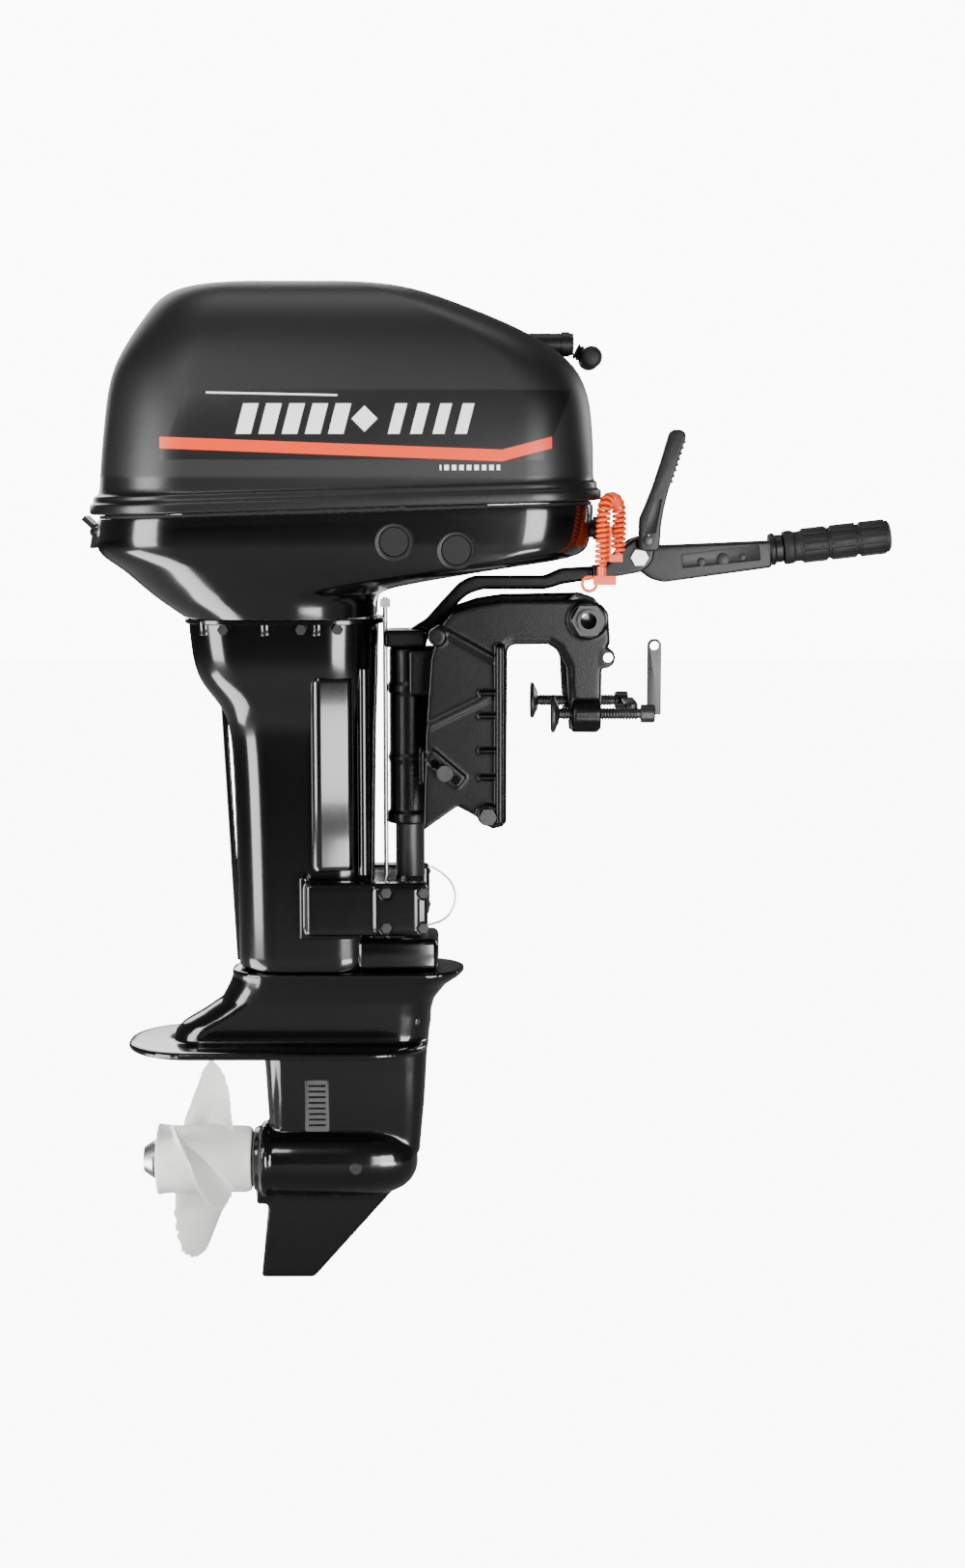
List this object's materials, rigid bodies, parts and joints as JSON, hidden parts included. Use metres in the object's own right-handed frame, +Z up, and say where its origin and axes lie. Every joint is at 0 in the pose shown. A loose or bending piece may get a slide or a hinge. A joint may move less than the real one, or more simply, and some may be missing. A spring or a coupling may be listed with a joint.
{
  "type": "outboard motor",
  "caption": "Portable two-stroke outboard motor with tiller steering, transom clamps, tilting swivel bracket, geared leg and three-blade propeller.",
  "frame": {"origin": "top aft corner of the boat's transom on the middle plane, where the clamp brackets sit", "axes": "+X forward into the boat, +Y to port, +Z up"},
  "size_m": [0.826, 0.302, 1.038],
  "materials": {
    "satin_charcoal": "satin moulded cowl",
    "gloss_black_casting": "gloss black paint over aluminium casting",
    "black_plastic": "moulded black",
    "steel": "zinc-plated or stainless steel",
    "aluminium": "bare casting",
    "iron": "dark steel",
    "rubber": "moulded rubber",
    "white_prop": "white coated propeller",
    "orange_plastic": "orange moulding"
  },
  "bodies": {
    "clamp": {"clamp_bracket_starboard": "gloss_black_casting", "clamp_bracket_port": "gloss_black_casting", "tilt_tube": "steel", "tilt_tube_nuts": "steel", "bracket_tie_bolt": "steel"},
    "pin": {"tilt_pin": "steel"},
    "pad_starboard": {"clamp_pad_starboard": "steel"},
    "pad_port": {"clamp_pad_port": "steel"},
    "screw_starboard": {"clamp_screw_starboard": "steel"},
    "screw_port": {"clamp_screw_port": "steel"},
    "handle_starboard": {"clamp_handle_starboard": "steel"},
    "handle_port": {"clamp_handle_port": "steel"},
    "swivel": {"swivel_bracket": "gloss_black_casting", "pivot_bushes": "black_plastic"},
    "drive": {"steering_bracket": "gloss_black_casting", "tiller_bolt": "steel", "exhaust_housing": "gloss_black_casting", "rubber_mounts": "rubber", "lower_mount_covers": "black_plastic", "housing_bolts": "steel", "earth_lead": "steel", "gearcase": "gloss_black_casting", "inlet_screens": "black_plastic", "water_pump_housing": "black_plastic", "prop_shaft_carrier": "aluminium", "engine_block": "aluminium", "cylinder_head": "aluminium", "spark_plugs": "steel", "pistons": "aluminium", "connecting_rods": "iron", "carburetor": "aluminium", "ignition_unit": "black_plastic", "starter_housing": "black_plastic", "bottom_cowl": "gloss_black_casting", "cowl_seal": "rubber", "cowl_plugs": "rubber", "stop_switch": "black_plastic", "fuel_connector": "black_plastic", "kill_cord": "orange_plastic", "lanyard_clip": "orange_plastic"},
    "crank": {"crankshaft": "iron", "flywheel": "iron", "drive_shaft": "steel", "pump_impeller": "rubber", "pinion_gear": "iron"},
    "ahead_gear": {"forward_gear": "iron"},
    "astern_gear": {"reverse_gear": "iron"},
    "screw_shaft": {"prop_shaft": "steel", "propeller": "white_prop", "prop_nut": "steel"},
    "dog": {"clutch_dog": "iron"},
    "rod": {"shift_rod": "steel"},
    "lever": {"shift_lever": "black_plastic"},
    "tiller": {"tiller_arm": "black_plastic"},
    "grip": {"throttle_grip": "rubber"},
    "reel": {"starter_reel": "black_plastic"},
    "pull": {"starter_handle": "black_plastic"},
    "cowl": {"top_cowl": "satin_charcoal"},
    "latch": {"cowl_latch": "black_plastic"},
    "button": {"stop_button": "black_plastic"}
  },
  "joints": [
    {"name": "tilt", "type": "hinge", "parent": "clamp", "child": "swivel", "pos_m": [0.084, 0, 0.019], "axis": [0, 1, 0], "range_deg": [0, 65]},
    {"name": "steer", "type": "hinge", "parent": "swivel", "child": "drive", "pos_m": [-0.095, 0, 0], "axis": [0, 0, 1], "range_deg": [-45, 45]},
    {"name": "tilt_pin_slide", "type": "slide", "parent": "clamp", "child": "pin", "axis": [0, -1, 0], "range_m": [0, 0.18]},
    {"name": "pad_starboard_slide", "type": "slide", "parent": "clamp", "child": "pad_starboard", "axis": [-1, 0, 0], "range_m": [0, 0.03]},
    {"name": "pad_port_slide", "type": "slide", "parent": "clamp", "child": "pad_port", "axis": [-1, 0, 0], "range_m": [-0.021, 0.009]},
    {"name": "screw_starboard_turn", "type": "hinge", "parent": "pad_starboard", "child": "screw_starboard", "pos_m": [0.048, -0.076, -0.075], "axis": [1, 0, 0], "range_deg": [-3601, 1]},
    {"name": "screw_port_turn", "type": "hinge", "parent": "pad_port", "child": "screw_port", "pos_m": [0.031, 0.076, -0.075], "axis": [1, 0, 0], "range_deg": [-1081, 2521]},
    {"name": "handle_starboard_fold", "type": "hinge", "parent": "screw_starboard", "child": "handle_starboard", "pos_m": [0.146, -0.076, -0.075], "axis": [0, 1, 0], "range_deg": [0, 88]},
    {"name": "handle_port_fold", "type": "hinge", "parent": "screw_port", "child": "handle_port", "pos_m": [0.129, 0.076, -0.075], "axis": [0, 0, 1], "range_deg": [0, 88]},
    {"name": "crank_spin", "type": "hinge", "parent": "drive", "child": "crank", "pos_m": [-0.15, 0, 0], "axis": [0, 0, 1], "continuous": true},
    {"name": "forward_gear_spin", "type": "hinge", "parent": "drive", "child": "ahead_gear", "pos_m": [-0.15, 0, -0.554], "axis": [1, 0, 0], "continuous": true},
    {"name": "reverse_gear_spin", "type": "hinge", "parent": "drive", "child": "astern_gear", "pos_m": [-0.15, 0, -0.554], "axis": [1, 0, 0], "continuous": true},
    {"name": "propeller_spin", "type": "hinge", "parent": "drive", "child": "screw_shaft", "pos_m": [-0.15, 0, -0.554], "axis": [1, 0, 0], "continuous": true},
    {"name": "shift_rod_slide", "type": "slide", "parent": "drive", "child": "rod", "axis": [0, 0, 1], "range_m": [-0.0081, 0.0081]},
    {"name": "shift_lever_swing", "type": "hinge", "parent": "drive", "child": "lever", "pos_m": [0.146, -0.04, 0.097], "axis": [0, 1, 0], "range_deg": [-22, 22]},
    {"name": "clutch_dog_slide", "type": "slide", "parent": "drive", "child": "dog", "axis": [1, 0, 0], "range_m": [-0.0043, 0.0043]},
    {"name": "tiller_fold", "type": "hinge", "parent": "drive", "child": "tiller", "pos_m": [0.139, 0, 0.079], "axis": [0, -1, 0], "range_deg": [0, 70]},
    {"name": "throttle_twist", "type": "hinge", "parent": "tiller", "child": "grip", "pos_m": [0.139, 0, 0.071], "axis": [0.9936, 0, 0.1132], "range_deg": [0, 100]},
    {"name": "starter_pull", "type": "slide", "parent": "drive", "child": "pull", "axis": [1, 0, 0], "range_m": [0, 0.9]},
    {"name": "starter_reel_turn", "type": "hinge", "parent": "drive", "child": "reel", "pos_m": [-0.15, 0, 0.276], "axis": [0, 0, 1], "range_deg": [-1150, 1]},
    {"name": "cowl_open", "type": "hinge", "parent": "drive", "child": "cowl", "pos_m": [0.092, 0, 0.141], "axis": [0, 1, 0], "range_deg": [0, 28]},
    {"name": "cowl_latch_swing", "type": "hinge", "parent": "drive", "child": "latch", "pos_m": [-0.4135, 0, 0.105], "axis": [0, 1, 0], "range_deg": [0, 50]},
    {"name": "stop_button_press", "type": "slide", "parent": "drive", "child": "button", "axis": [-1, 0, 0], "range_m": [0, 0.003], "stiffness_N_per_m": 800, "springref_m": -0.002}
  ],
  "couplings": [
    {"joint": "screw_starboard_turn", "follows": "pad_starboard_slide", "rad_per_m": -2094.4},
    {"joint": "screw_port_turn", "follows": "pad_port_slide", "rad_per_m": -2094.4},
    {"joint": "forward_gear_spin", "follows": "crank_spin", "ratio": 0.48148},
    {"joint": "reverse_gear_spin", "follows": "crank_spin", "ratio": -0.48148},
    {"joint": "shift_rod_slide", "follows": "shift_lever_swing", "m_per_rad": 0.020835},
    {"joint": "clutch_dog_slide", "follows": "shift_lever_swing", "m_per_rad": 0.010938},
    {"joint": "starter_reel_turn", "follows": "starter_pull", "rad_per_m": -22.222}
  ]
}
